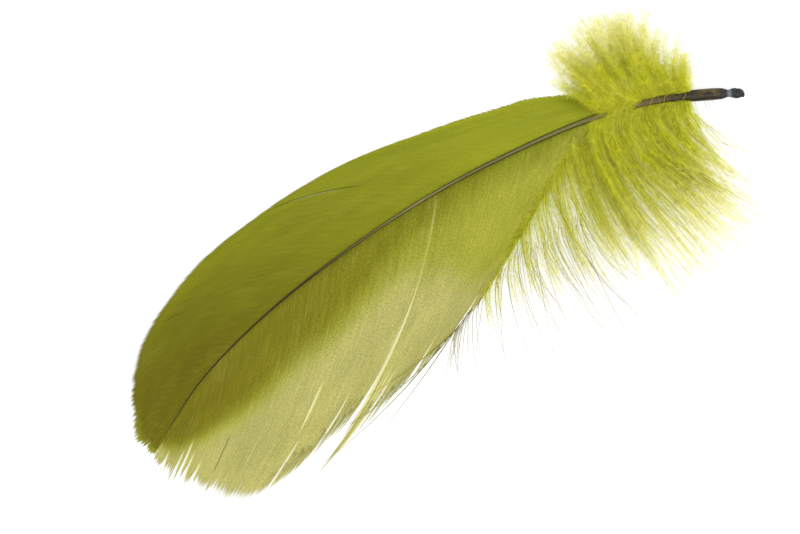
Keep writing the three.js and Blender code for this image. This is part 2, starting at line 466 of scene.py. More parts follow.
@dataclass
class Nodes:
    """Short calls that write the nodes of one material."""

    tree: bpy.types.NodeTree

    @classmethod
    def fresh(cls, name: str) -> tuple["Nodes", bpy.types.Material]:
        """Starts a material.

        Args:
            name: its name.

        Returns:
            A writer of its nodes, and the material.
        """
        material = bpy.data.materials.new(name)
        material.use_nodes = True
        material.node_tree.nodes.clear()
        return cls(material.node_tree), material

    def add(self, kind: str, inputs: dict | None = None, **settings: object) -> bpy.types.Node:
        """Adds a node.

        Args:
            kind: the node's type.
            inputs: a value or an output for each named or numbered input.
            settings: the node's own settings.

        Returns:
            The node.
        """
        node = self.tree.nodes.new(kind)
        for key, value in settings.items():
            setattr(node, key, value)
        for key, value in (inputs or {}).items():
            if isinstance(value, Socket):
                self.tree.links.new(value, node.inputs[key])
            elif isinstance(value, tuple) and len(value) == 3 and node.inputs[key].type == "RGBA":
                node.inputs[key].default_value = (*value, 1.0)
            else:
                node.inputs[key].default_value = value
        return node

    def own_map(self, across: float = 1.0, along: float = 1.0) -> Socket:
        """Returns the piece's own map with its two directions stretched."""
        inputs = {0: self.add("ShaderNodeUVMap", uv_map=UV_NAME).outputs["UV"], 1: (across, along, 1.0)}
        return self.add("ShaderNodeVectorMath", inputs, operation="MULTIPLY").outputs[0]

    def noise(self, place: Socket, scale: float, detail: float) -> Socket:
        """Returns cloudy numbers round 0.5 at that place."""
        inputs = {"Vector": place, "Scale": scale, "Detail": detail}
        return self.add("ShaderNodeTexNoise", inputs).outputs[0]

    def pattern(self, across: float, along: float, detail: float) -> Socket:
        """Returns cloudy numbers on the piece's own map, so many spots across and along it."""
        return self.noise(self.own_map(across, along), 1.0, detail)

    def math(self, operation: str, a: object, b: object = 0.0, clamp: bool = False) -> Socket:
        """Returns what an operation makes of two numbers."""
        return self.add("ShaderNodeMath", {0: a, 1: b}, operation=operation, use_clamp=clamp).outputs[0]

    def plus(self, a: object, b: object, clamp: bool = False) -> Socket:
        """Returns the sum of two numbers."""
        return self.math("ADD", a, b, clamp)

    def times(self, a: object, b: object, clamp: bool = False) -> Socket:
        """Returns the product of two numbers."""
        return self.math("MULTIPLY", a, b, clamp)

    def span(self, value: object, low: float, high: float, start: float = 0.0, end: float = 1.0) -> Socket:
        """Returns value eased from low and high to start and end."""
        inputs = {0: value, 1: low, 2: high, 3: start, 4: end}
        return self.add("ShaderNodeMapRange", inputs, interpolation_type="SMOOTHSTEP").outputs[0]

    def varied(self, cloud: Socket, low: float, high: float) -> Socket:
        """Returns cloudy numbers spread between two values."""
        return self.span(cloud, NOISE_LOW, NOISE_HIGH, low, high)

    def between(self, value: Socket, rise: tuple[float, float], fall: tuple[float, float]) -> Socket:
        """Returns 1 between a rise and a fall, and 0 before and after them."""
        return self.times(self.span(value, *rise), self.span(value, *fall, 1.0, 0.0))

    def mix(self, share: object, a: object, b: object, blend: str = "MIX") -> Socket:
        """Returns two colours mixed."""
        inputs = {0: share, 6: a, 7: b}
        return self.add("ShaderNodeMix", inputs, data_type="RGBA", blend_type=blend).outputs[2]

    def shaded(self, colour: Socket, shade: Socket) -> Socket:
        """Returns a colour multiplied by a number."""
        tone = self.add("ShaderNodeCombineColor", {0: shade, 1: shade, 2: shade}).outputs[0]
        return self.mix(1.0, colour, tone, "MULTIPLY")

    def ramp(self, share: Socket, stops: Stops) -> Socket:
        """Reads a colour off a row of colours.

        Args:
            share: where to read it, from 0 to 1.
            stops: the place and the colour of each stop.

        Returns:
            The colour.
        """
        node = self.add("ShaderNodeValToRGB", {0: share})
        band = node.color_ramp
        while len(band.elements) < len(stops):
            band.elements.new(0.5)
        for element, (place, colour) in zip(band.elements, stops):
            element.position = place
            element.color = (*colour, 1.0)
        return node.outputs[0]

    def attribute(self, name: str) -> Socket:
        """Returns a number that the piece keeps on its points."""
        return self.add("ShaderNodeAttribute", attribute_name=name).outputs["Fac"]

    def bump(self, height: Socket, strength: float, depth: float) -> Socket:
        """Returns the surface direction over fine relief, depth in millimetres."""
        inputs = {"Strength": strength, "Distance": depth * MM, "Height": height}
        return self.add("ShaderNodeBump", inputs).outputs[0]

    def thin_keratin(
        self, colour: Socket, share: float, rough: Socket, normal: Socket, specular: float
    ) -> None:
        """Ends the material as thin barb stuff that lets some light through.

        Args:
            colour: its colour, and that of the light that comes through.
            share: how much of the light comes through.
            rough: how rough it is.
            normal: its surface direction.
            specular: how strongly it mirrors.
        """
        looks = {
            "Base Color": colour,
            "Roughness": rough,
            "Normal": normal,
            "Sheen Weight": BARB_SHEEN,
            "Sheen Roughness": SHEEN_ROUGHNESS,
            "Sheen Tint": DYE_TINT,
            "Specular IOR Level": specular,
            "Specular Tint": DYE_TINT,
        }
        face = self.add("ShaderNodeBsdfPrincipled", looks)
        through = self.add("ShaderNodeBsdfTranslucent", {"Color": colour, "Normal": normal})
        both = self.add("ShaderNodeMixShader", {0: share, 1: face.outputs[0], 2: through.outputs[0]})
        self.add("ShaderNodeOutputMaterial", {0: both.outputs[0]})


@dataclass(frozen=True)
class WebFinish:
    """Smooth dyed barbs: fine streaks that follow them, and a paler outer zone, partly painted sheen."""

    name: str
    tip: Colour
    quill: Colour
    lit: Colour
    pale: Colour
    # The glint colour is a painted highlight in the pale zone.
    painted_glint: Colour
    # Rim is painted light on the barbs beside the open splits, and shade is painted shade beside the shaded
    # ones.
    rim: Colour
    shade: Colour
    barbs: int
    streaks: float
    stipple: float
    through: float
    specular: float = 0.16

    def material(self) -> bpy.types.Material:
        """Writes the finish.

        Returns:
            The material.
        """
        nodes, material = Nodes.fresh(self.name)
        fine = nodes.pattern(self.barbs * 0.9, 7.0, 2.0)
        grain = nodes.pattern(self.barbs * 1.6, 190.0, 1.0)
        glint_streaks = nodes.pattern(self.barbs * 0.4, 2.4, 3.0)
        wander = nodes.varied(nodes.pattern(9.0, 1.6, 2.0), -0.04, 0.04)
        clouds = nodes.varied(nodes.pattern(7.0, 5.0, 3.0), 0.93, 1.07)
        feathered = nodes.plus(wander, nodes.varied(fine, -0.05, 0.05))
        lit = nodes.plus(nodes.attribute("lit"), feathered, clamp=True)
        # The pale zone is partly the barbs' own paler colour and partly a painted sheen.
        pale = nodes.plus(nodes.attribute("pale"), feathered, clamp=True)
        colour = nodes.mix(nodes.attribute("quillward"), self.tip, self.quill)
        colour = nodes.mix(lit, colour, self.lit)
        colour = nodes.mix(pale, colour, self.pale)
        lines = nodes.varied(fine, 1 - self.streaks, 1 + self.streaks)
        dots = nodes.varied(grain, 1 - self.stipple, 1 + self.stipple)
        colour = nodes.shaded(colour, nodes.times(nodes.times(lines, dots), clouds))
        # Painted glints: streaks in the pale zone painted lighter, as a silky highlight.
        glint = nodes.times(nodes.span(glint_streaks, 0.6, 0.78), nodes.span(pale, 0.0, 0.9, 0.03, 0.38))
        colour = nodes.mix(glint, colour, self.painted_glint)
        # Beside an open split the barbs' edges are painted light, like the pale table seen through the gap;
        # beside a shaded split they are painted in shade.
        edge = nodes.attribute("edge")
        colour = nodes.mix(nodes.times(edge, 0.8, clamp=True), colour, self.rim)
        colour = nodes.mix(nodes.times(edge, -0.6, clamp=True), colour, self.shade)
        normal = nodes.bump(nodes.plus(fine, nodes.times(grain, 0.6)), 0.5, 0.05)
        nodes.thin_keratin(colour, self.through, nodes.varied(fine, 0.48, 0.66), normal, self.specular)
        return material


@dataclass(frozen=True)
class DownFinish:
    """Loose dyed down: bright where it is thick, pale towards its ends."""

    name: str
    deep: Colour
    bright: Colour
    pale: Colour
    stems: int
    through: float
    specular: float = 0.12

    def material(self) -> bpy.types.Material:
        """Writes the finish.

        Returns:
            The material.
        """
        nodes, material = Nodes.fresh(self.name)
        along = nodes.add("ShaderNodeSeparateXYZ", {0: nodes.own_map()}).outputs[1]
        each = nodes.pattern(self.stems, 1.2, 1.0)
        patch = nodes.pattern(self.stems * 0.3, 6.0, 3.0)
        fine = nodes.pattern(self.stems * 3.0, 40.0, 2.0)
        colour = nodes.mix(nodes.span(each, 0.32, 0.68), self.deep, self.bright)
        outer = nodes.plus(nodes.span(along, 0.3, 1.0), nodes.varied(patch, -0.25, 0.25), clamp=True)
        colour = nodes.mix(outer, colour, self.pale)
        colour = nodes.shaded(colour, nodes.varied(fine, 0.86, 1.14))
        normal = nodes.bump(fine, 0.3, 0.02)
        nodes.thin_keratin(colour, self.through, nodes.varied(fine, 0.5, 0.75), normal, self.specular)
        return material


@dataclass(frozen=True)
class ShaftFinish:
    """Horn of the quill and shaft: a painted highlight along the ridge, dark edges, marks on the bare quill.
    """

    name: str
    along: Stops
    # The ridge colours paint the crown lighter than the flanks, a painted highlight.
    ridge: Stops
    slate: Colour
    amber: Colour
    pith: Colour
    ring: Colour
    specular: float = 0.22

    def material(self) -> bpy.types.Material:
        """Writes the finish.

        Returns:
            The material.
        """
        nodes, material = Nodes.fresh(self.name)
        place = nodes.add("ShaderNodeSeparateXYZ", {0: nodes.own_map()})
        around, along = place.outputs[0], place.outputs[1]
        blot = nodes.pattern(4.0, 46.0, 4.0)
        freckle = nodes.pattern(10.0, 240.0, 3.0)
        fibre = nodes.pattern(34.0, 26.0, 3.0)
        wander = nodes.varied(nodes.pattern(9.0, 60.0, 3.0), -0.03, 0.03)
        # The map runs once round the shaft from its underside, so the crown is at a half.
        off_crown = nodes.math("ABSOLUTE", nodes.math("SUBTRACT", around, 0.5))
        # The crown is painted in the ridge colours, lighter than the flanks, as a painted highlight.
        lit = nodes.span(nodes.plus(off_crown, wander), 0.09, 0.17, 1.0, 0.0)
        colour = nodes.mix(lit, nodes.ramp(along, self.along), nodes.ramp(along, self.ridge))
        left = nodes.span(nodes.plus(around, wander), 0.56, 0.68)
        bare = nodes.span(along, 0.845, 0.88)
        colour = nodes.mix(nodes.times(nodes.times(left, bare), 0.75), colour, self.slate)
        gold = nodes.times(nodes.between(along, (0.925, 0.945), (0.955, 0.968)), nodes.span(blot, 0.4, 0.6))
        colour = nodes.mix(gold, colour, self.amber)
        end = nodes.times(nodes.span(along, 0.966, 0.974), nodes.span(blot, 0.25, 0.6, 0.6, 1.0))
        colour = nodes.mix(end, colour, self.slate)
        pinch = nodes.times(nodes.between(along, (0.974, 0.9775), (0.98, 0.9835)), 0.8)
        colour = nodes.mix(pinch, colour, self.ring)
        marked = nodes.times(nodes.span(freckle, 0.56, 0.66), nodes.span(along, 0.8, 0.86, 0.15, 0.8))
        colour = nodes.mix(marked, colour, self.pith)
        colour = nodes.shaded(colour, nodes.varied(fibre, 0.82, 1.16))
        looks = {
            "Base Color": colour,
            "Roughness": nodes.varied(blot, 0.3, 0.5),
            "Normal": nodes.bump(nodes.plus(fibre, nodes.times(freckle, 0.5)), 0.6, 0.06),
            "Specular IOR Level": self.specular,
        }
        face = nodes.add("ShaderNodeBsdfPrincipled", looks)
        nodes.add("ShaderNodeOutputMaterial", {0: face.outputs[0]})
        return material


def dress(piece: Piece, finish: bpy.types.Material, node: str) -> Piece:
    """Gives a piece its finish and its place in the model.

    Args:
        piece: the finished piece.
        finish: its material.
        node: the CAD node that it stands for.

    Returns:
        The piece.
    """
    piece.data.materials.append(finish)
    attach(piece, ROOT_BODY)
    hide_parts(node)
    LOG.info("%s: %d faces", piece.name, len(piece.data.polygons))
    return piece


@dataclass(frozen=True)
class Relief:
    """A furrow or ridge along the shaft, in turns round it and shares of its radius."""

    place: float
    width: float
    depth: float

    def at(self, turn: float) -> float:
        """Returns how deep or high it is so far round the shaft."""
        return math.exp(-(((turn - self.place) / self.width) ** 2)) * self.depth


@dataclass
class Shaft:
    """The bare quill with its pinched, torn end, and the rachis that runs on to the tip."""

    line: ShaftLine
    finish: ShaftFinish
    sides: int = 24
    quill_starts: float = 121.0
    pinch_starts: float = 150.0
    nub_starts: float = 153.3
    hook_starts: float = 155.7
    hook: float = 0.3
    hook_thinner: float = 0.22
    torn_length: float = 1.2
    tear: float = 0.9
    flutes_fade: tuple[float, float] = (112.0, 128.0)
    groove: Relief = Relief(0.17, 0.035, 0.16)
    underside: Relief = Relief(0.0, 0.06, 0.3)
    ridge: Relief = Relief(0.0, 0.07, 0.1)

    def stations(self) -> Array:
        """Spaces the shaft's rings, closest together from the pinch on.

        Returns:
            Their distances from the tip.
        """
        rachis = np.linspace(0, self.quill_starts, 84)
        quill = np.linspace(self.quill_starts, self.pinch_starts, 30)[1:]
        return np.concatenate([rachis, quill, np.linspace(self.pinch_starts, SHAFT_LENGTH, 30)[1:]])

    def outline(self, distance: float, turn: float) -> tuple[float, float]:
        """Shapes one point of a ring.

        Args:
            distance: the ring's distance from the tip.
            turn: the share of a turn round the shaft, from its underside.

        Returns:
            How far the point stands out sideways and up, as shares of the radius.
        """
        angle = (turn - 0.25) * math.tau
        out, up = math.cos(angle), math.sin(angle)
        fading, gone = self.flutes_fade
        fluted = 1.0 - float(smooth_step(np.array((distance - fading) / (gone - fading))))
        off_crown, off_underside = abs(turn - 0.5), min(turn, 1 - turn)
        groove = self.groove.at(off_crown) * fluted
        under = self.underside.at(off_underside) * fluted
        ridge = self.ridge.at(off_crown) * fluted
        torn = max(0.0, distance - self.nub_starts)
        lump = noise.noise(Vector((out * 1.7, up * 1.7, distance * 0.9)))
        ripple = noise.noise(Vector((out * 5, up * 5, distance * 0.5)))
        reach = 1 - groove - under + ridge + lump * min(0.26, 0.02 + torn * 0.16) + ripple * 0.02
        return out * reach, up * reach

    def place_ring(self, ring: list[bmesh.types.BMVert], distance: float, around: object) -> None:
        """Moves the points of a ring to their places.

        Args:
            ring: the points.
            distance: the ring's distance from the tip.
            around: the layer that holds each point's share of a turn.
        """
        at = np.array(distance)
        forward = self.line.quillward(at)
        right = level_across(forward)
        up = np.cross(right, forward)
        bent = float(smooth_step((at - self.hook_starts) / (SHAFT_LENGTH - self.hook_starts)))
        centre = self.line.centre(at) + right * (self.hook * bent**2)
        radius = float(self.line.radius(at)) * (1 - self.hook_thinner * bent)
        slack = max(0.0, (distance - SHAFT_LENGTH + self.torn_length) / self.torn_length)
        for vert in ring:
            out, rise = self.outline(distance, vert[around])
            tear = slack * noise.noise(Vector((vert[around] * 9, 3.1, 0))) * self.tear
            vert.co = Vector((centre + (right * out + up * rise) * radius + forward * tear) * MM)

    def chart(self, mesh: bmesh.types.BMesh, around: object, along: object) -> None:
        """Lays the shaft out on its own map, once round it across and from tip to end along.

        Args:
            mesh: the closed mesh.
            around: the layer that holds each point's share of a turn.
            along: the layer that holds each point's share of the length.
        """
        layer = mesh.loops.layers.uv.new(UV_NAME)
        for face in mesh.faces:
            face.smooth = True
            turns = [loop.vert[around] for loop in face.loops]
            wraps = len(turns) == 4 and max(turns) - min(turns) > 0.5
            for loop in face.loops:
                turn, run = loop.vert[around], loop.vert[along]
                if wraps and turn < 0.5:
                    turn += 1.0
                if len(turns) > 4:
                    edge = CAP_ON_MAP if run < 0.5 else 1 - CAP_ON_MAP
                    run = edge + 0.003 * math.sin(turn * math.tau)
                    turn = 0.5 + 0.05 * math.cos(turn * math.tau)
                loop[layer].uv = (0.001 + turn * 0.998, 0.001 + run * 0.998)

    def build(self) -> Piece:
        """Draws the shaft out ring by ring, and closes it.

        Returns:
            The dressed piece.
        """
        mesh = bmesh.new()
        around = mesh.verts.layers.float.new("around")
        along = mesh.verts.layers.float.new("along")
        ring = list(bmesh.ops.create_circle(mesh, segments=self.sides, radius=1.0)["verts"])
        edges = list(mesh.edges)
        for number, vert in enumerate(ring):
            vert[around] = number / self.sides
        for step, distance in enumerate(self.stations()):
            if step:
                new = bmesh.ops.extrude_edge_only(mesh, edges=edges)["geom"]
                ring = [g for g in new if isinstance(g, bmesh.types.BMVert)]
                edges = [g for g in new if isinstance(g, bmesh.types.BMEdge)]
                edges = [e for e in edges if e.verts[0] in ring and e.verts[1] in ring]
            self.place_ring(ring, distance, around)
            for vert in ring:
                vert[along] = distance / SHAFT_LENGTH
        bmesh.ops.holes_fill(mesh, edges=[e for e in mesh.edges if e.is_boundary], sides=self.sides)
        bmesh.ops.recalc_face_normals(mesh, faces=mesh.faces)
        self.chart(mesh, around, along)
        return dress(from_bmesh("shaft_quill", mesh), self.finish.material(), "shaft")


def frames_of(paths: Array) -> tuple[Array, Array]:
    """Finds the directions square to strands.

    Args:
        paths: the strands' points, (N, M, 3).

    Returns:
        The level direction across each point, and the one that lifts off it.
    """
    ahead = headings(paths)
    level = level_across(ahead)
    return level, np.cross(level, ahead)


@dataclass(frozen=True)
class Split:
    """A line where neighbouring barbs have come unhooked: share of the barb and gape in millimetres."""

    distance: float
    opening: Rows
    fade: float = 3.0
    shaded: bool = False

    def gape(self, share: Array) -> Array:
        """Returns how wide the split is at these shares of its barb."""
        return Curve(self.opening).at(share)[..., 0]

    def push(self, distance: Array, share: Array) -> Array:
        """Opens the split.

        Args:
            distance: how far from the tip each barb is rooted, (N, 1).
            share: how far along its barb each point is, (N, M).

        Returns:
            How far each point moves towards the quill, in millimetres.
        """
        away = distance - self.distance
        gape = self.gape(share) * (SHADED_GAPE if self.shaded else 1.0)
        return np.sign(away) * gape / 2 * np.exp(-np.abs(away) / self.fade)


@dataclass(frozen=True)
class Tuft:
    """A bundle of barbs that has worked loose at the edge and runs on past it."""

    first: float
    last: float
    starts: float
    longer: float
    pull: float
    domed: float = 0.6
    ends: float = 1.15

    def off_middle(self, distance: Array) -> Array:
        """Returns how far from the middle of the bundle these distances are."""
        return distance - (self.first + self.last) / 2

    def holds(self, distance: Array) -> Array:
        """Returns which of these distances are in the bundle."""
        return (distance >= self.first) & (distance <= self.last)

    def growth(self, distance: Array) -> Array:
        """Returns how much longer the barbs rooted at these distances are."""
        off = self.off_middle(distance) / ((self.last - self.first) / 2)
        return self.holds(distance) * self.longer * (1 - self.domed * off**2)


@dataclass
class Web:
    """One web: barbs side by side, hooked into a sheet, with splits, notches and ragged ends.

    Each row of zones, ragged and kept starts with a distance from the tip. Zones give the shares of a barb
    where the lit zone and the pale zone, which is partly a painted sheen, start. Ragged gives how uneven
    the barbs' lengths are, the share of a barb over which its end is bundled, and how tightly. Kept gives
    the share of a barb that is still hooked into the web.
    """

    fan: Fan
    finish: WebFinish
    name: str
    slot: str
    node: str
    splits: tuple[Split, ...]
    tufts: tuple[Tuft, ...]
    zones: Rows
    ragged: Rows
    kept: Rows
    seed: int
    steps: int = 30
    crowding: float = 1.35
    comes_down: float = 0.9
    clearance: float = 0.22
    uneven: float = 0.018
    shingle: float = 2.5
    overlap: float = 0.66
    narrowest: float = 0.05
    widest: float = 0.34
    half_height: float = 0.075
    thinner: float = 0.022
    blunt: float = 0.045
    tip_width: float = 0.07
    lit_blur: float = 0.14
    pale_blur: float = 0.12
    tip_colour_to: float = 26.0
    quill_colour_from: float = 108.0

    @property
    def count(self) -> int:
        """The number of barbs."""
        return self.finish.barbs

    def roots(self) -> Array:
        """Returns the distance from the tip of each barb's root."""
        rows = self.fan.rows
        return np.linspace(rows[0][0], rows[-1][0], self.count)

    def shares(self) -> Array:
        """Returns how far along a barb its sections stand, closer together near its end."""
        return 1 - (1 - np.linspace(0, 1, self.steps)) ** self.crowding

    def height(self, distance: Array, share: Array) -> Array:
        """Returns how high the middle of the web stands."""
        foot = np.maximum(0, self.fan.shaft.centre(distance)[..., 2] - WEB_DROP)
        return foot * (1 - smooth_step(share / self.comes_down)) + self.clearance

    def laid_out(self) -> tuple[Array, Array, Array]:
        """Lays the barbs out.

        Returns:
            Their points (N, M, 2), the share of their length, and the spacing between them.
        """
        chance = np.random.default_rng(self.seed)
        roots = self.roots()
        distance = roots[:, None]
        uneven, depth, pull = Curve(self.ragged).at(roots).T
        longer = 1 + uneven * chance.normal(0, 1, self.count)
        for tuft in self.tufts:
            longer += tuft.growth(roots)
        longer = longer * Curve(self.kept).at(roots)[:, 0]
        share = self.shares()[None, :] * longer[:, None]
        plan = self.fan.plan(distance, share)
        square = quarter_turn(headings(plan))
        even = self.fan.plan(distance, np.broadcast_to(self.shares()[None, :], share.shape))
        beside = np.einsum("nmk,nmk->nm", np.gradient(even, axis=0), square)
        spacing = np.abs(beside)
        square = square * np.sign(beside.mean())
        for split in self.splits:
            plan = plan + square * split.push(distance, share)[..., None]
        plan = plan + square * self.bundled(chance, share, spacing, depth, pull)[..., None]
        for tuft in self.tufts:
            near = tuft.off_middle(distance) / (roots[1] - roots[0])
            eased = smooth_step((share - tuft.starts) / (tuft.ends - tuft.starts))
            draw = -near * spacing * tuft.pull * eased * tuft.holds(distance)
            plan = plan + square * draw[..., None]
        return plan, share, spacing

    def bundled(
        self, chance: np.random.Generator, share: Array, spacing: Array, depth: Array, pull: Array
    ) -> Array:
        """Draws the ends of neighbouring barbs together in small bundles.

        Args:
            chance: the random numbers.
            share: how far along its barb each point is.
            spacing: the distance between the barbs at each point.
            depth: the share of its length over which each barb is drawn in.
            pull: how far each is drawn in.

        Returns:
            How far each point moves across its barb.
        """
        middle = np.zeros(self.count)
        start = 0
        while start < self.count:
            stop = min(self.count, start + int(chance.integers(1, 5)))
            middle[start:stop] = (start + stop - 1) / 2 + chance.normal(0, 0.5)
            start = stop
        off = (np.arange(self.count) - middle)[:, None]
        eased = smooth_step((share - 1 + depth[:, None]) / depth[:, None])
        return -off * spacing * pull[:, None] * eased

    def sheet_frames(self, paths: Array) -> tuple[Array, Array]:
        """Finds the directions square to the barbs that lie in the web and stand off it.

        Args:
            paths: the barbs' points, (N, M, 3).

        Returns:
            The direction across each point, in the slope of the web and shingled a little, and the
            one off it.
        """
        distance = self.roots()[:, None]
        even = np.broadcast_to(self.shares()[None, :], paths.shape[:2])
        sheet = raised(self.fan.plan(distance, even), self.height(distance, even))
        ahead = headings(paths)
        beside = np.gradient(sheet, axis=0)
        beside = unit(beside - ahead * np.sum(beside * ahead, -1, keepdims=True))
        across = beside * np.sign(np.sum(beside * level_across(ahead), -1, keepdims=True))
        shingle = math.radians(self.shingle)
        across = across * math.cos(shingle) + np.cross(across, ahead) * math.sin(shingle)
        return across, np.cross(across, ahead)

    def edges(self, distance: Array, share: Array) -> Array:
        """Marks the barbs beside the splits for painted light and painted shade.

        Args:
            distance: how far from the tip each barb is rooted, (N, 1).
            share: how far along its barb each point is, (N, M).

        Returns:
            How much painted light its edge takes at each point, below 0 where it takes painted shade.
        """
        edge = np.zeros_like(share)
        for split in self.splits:
            away = distance - split.distance
            beside = (away > 0) & (away < distance[1, 0] - distance[0, 0])
            shown = np.clip(split.gape(share) * 6, 0, 1) * beside
            edge = np.where(shown > 0, -shown if split.shaded else shown, edge)
        return edge

    def build(self) -> Piece:
        """Builds the web.

        Returns:
            The dressed piece.
        """
        chance = np.random.default_rng(self.seed + 1)
        plan, share, spacing = self.laid_out()
        distance, run = self.roots()[:, None], self.shares()[None, :]
        uneven = chance.normal(0, self.uneven, (self.count, 1)) * smooth_step(run * 4)
        paths = raised(plan, self.height(distance, share) + uneven)
        across, lift = self.sheet_frames(paths)
        pointed = self.blunt + 0.35 * Curve(self.ragged).at(distance)[..., 1]
        taper = 1 - smooth_step((run - 1 + pointed) / pointed) * (1 - self.tip_width)
        thick = (self.half_height - self.thinner * run) * (0.3 + 0.7 * taper)
        lit, pale = np.moveaxis(Curve(self.zones).at(distance), -1, 0)
        quillward = (distance - self.tip_colour_to) / (self.quill_colour_from - self.tip_colour_to)
        strands = Strands(
            paths=paths,
            half_width=np.clip(spacing * self.overlap, self.narrowest, self.widest) * taper,
            half_height=thick,
            across=across,
            lift=lift,
            u_centre=0.004 + 0.992 * (np.arange(self.count) + 0.5) / self.count,
            u_half=0.46 / self.count,
            v_along=0.02 + 0.96 * run + 0 * share,
        )
        shades = {
            "lit": smooth_step((share - lit + self.lit_blur) / (2 * self.lit_blur)),
            "pale": smooth_step((share - pale + self.pale_blur) / (2 * self.pale_blur)),
            "edge": self.edges(distance, share),
            "quillward": np.clip(quillward, 0, 1) + 0 * share,
        }
        return dress(strands.build(self.name, shades), self.finish.material(), self.node)


@dataclass
class Stems:
    """Loose strands: their paths and thickness, their lane on the map, and how far out each point is."""

    paths: Array
    radius: Array
    lane: Array
    lanes: int
    share: Array

    def u_of(self, lane: Array) -> Array:
        """Returns where the middles of lanes are across the map."""
        return 0.01 + 0.98 * (lane + 0.5) / self.lanes

    def v_of(self, share: Array) -> Array:
        """Returns where shares of the length are along the map."""
        return 0.03 + 0.94 * np.clip(share, 0, 1)

    def lengths(self) -> Array:
        """Returns how long each strand is."""
        return np.linalg.norm(np.diff(self.paths, axis=1), axis=-1).sum(1)

    def build(self, name: str) -> Piece:
        """Makes the strands as one mesh of hairs.

        Args:
            name: the piece's name.

        Returns:
            The undressed object.
        """
        across, lift = frames_of(self.paths)
        strands = Strands(
            paths=self.paths,
            half_width=self.radius,
            half_height=self.radius,
            across=across,
            lift=lift,
            u_centre=self.u_of(self.lane),
            u_half=0.4 / self.lanes,
            v_along=self.v_of(self.share),
            section=HAIR_SECTION,
            crisp=False,
        )
        return strands.build(name)

    def some(self, chosen: Array, thicker: float) -> "Stems":
        """Picks some of the strands.

        Args:
            chosen: their numbers.
            thicker: how many times as thick they are.

        Returns:
            The strands.
        """
        radius = self.radius[chosen] * thicker
        return Stems(self.paths[chosen], radius, self.lane[chosen], self.lanes, self.share[chosen])

    def spot(self, strand: Array, share: Array) -> tuple[Array, Array]:
        """Finds places on the strands.

        Args:
            strand: the numbers of the strands.
            share: how far along its strand each place is, from 0 to 1.

        Returns:
            The places and the directions that the strands run in there.
        """
        steps = self.paths.shape[1]
        place = np.clip(share, 0, 1) * (steps - 1)
        low = np.clip(place.astype(int), 0, steps - 2)
        rest = (place - low)[..., None]
        near, far = self.paths[strand, low], self.paths[strand, low + 1]
        return near * (1 - rest) + far * rest, unit(far - near)

    def hairs(self, chance: np.random.Generator, count: int, stray: float, steps: int = 8) -> "Stems":
        """Lays finer hairs along the strands, which leave them little by little.

        Args:
            chance: the random numbers.
            count: how many hairs.
            stray: how far a hair's end strays from its strand, in millimetres.
            steps: how many points a hair has.

        Returns:
            The hairs.
        """
        lengths = self.lengths()
        strand = chance.choice(len(self.paths), count, p=lengths / lengths.sum())
        first = np.maximum(0, chance.uniform(-0.45, 0.66, count))
        last = np.minimum(first + chance.uniform(0.3, 0.7, count), 1.05)
        run = np.linspace(0, 1, steps)[None, :]
        share = first[:, None] + (last - first)[:, None] * run
        spots, ahead = self.spot(strand[:, None] + np.zeros_like(share, int), share)
        spots = spots + ahead * (np.maximum(share - 1, 0) * lengths[strand][:, None])[..., None]
        off = stray * chance.normal(0, 1, (count, 1)) * run**1.2
        wave = chance.uniform(0, math.tau, (count, 1))
        off = off + 0.25 * run * np.sin(wave + run * chance.uniform(3, 8, (count, 1)))
        spots = spots + level_across(ahead) * off[..., None]
        spots[..., 2] += stray * 0.5 * chance.normal(0, 1, (count, 1)) * run
        spots[..., 2] = np.maximum(spots[..., 2], LOWEST_HAIR)
        thick = HAIR_RADIUS * chance.uniform(0.7, 1.3, (count, 1)) * ((1 - run) ** 0.6 * 0.8 + 0.2)
        return Stems(spots, thick, self.lane[strand], self.lanes, self.share[strand][:, -1:] * share)

    def fluff(self, chance: np.random.Generator, chosen: Array, soft: "Softness") -> Barbules:
        """Grows barbules out of some of the strands.

        Args:
            chance: the random numbers.
            chosen: the numbers of the strands that carry them.
            soft: how many and how long they are, and how they stand.

        Returns:
            The barbules.
        """
        count = soft.barbules
        lengths = self.lengths()[chosen]
        strand = chance.choice(chosen, count, p=lengths / lengths.sum())
        share = chance.uniform(0, 1, count) ** 1.45 * soft.covers
        foot, ahead = self.spot(strand, share)
        level = level_across(ahead)
        top = np.cross(level, ahead)
        swing = chance.uniform(0, math.tau, count)
        off = level * np.cos(swing)[:, None] - top * (0.45 * np.abs(np.sin(swing)))[:, None]
        angle = np.radians(chance.uniform(*soft.spread, count))
        direction = unit(ahead * np.cos(angle)[:, None] + unit(off) * np.sin(angle)[:, None])
        at_foot, at_end = soft.length
        reach = (at_foot + (at_end - at_foot) * share) * chance.uniform(0.45, 1.25, count)
        steep = np.maximum(direction[:, 2], (LOWEST_BARBULE - foot[:, 2]) / reach)
        steep = np.clip(steep, -0.9, 0.9)
        level_part = unit(direction * [1.0, 1.0, 0.0]) * np.sqrt(1 - steep**2)[:, None]
        return Barbules(
            bases=foot,
            directions=np.column_stack([level_part[:, :2], steep]),
            lengths=reach,
            radius=BARBULE_RADIUS * chance.uniform(0.75, 1.25, count),
            u=self.u_of(self.lane[strand]),
            v=self.v_of(self.share[strand, -1] * share),
            u_half=0.42 / self.lanes,
        )


@dataclass(frozen=True)
class Softness:
    """How much hair and fluff a bunch of loose barbs carries.

    Length is a barbule's length at the foot of a barb and at its end, spread is the least and the
    greatest angle between the two in degrees, and covers is the share of a barb that has barbules.
    """

    hairs: int = 0
    stray: float = 0.0
    barbules: int = 0
    pieces: int = 0
    length: tuple[float, float] = (1.0, 1.0)
    spread: tuple[float, float] = (0.0, 0.0)
    covers: float = 0.93


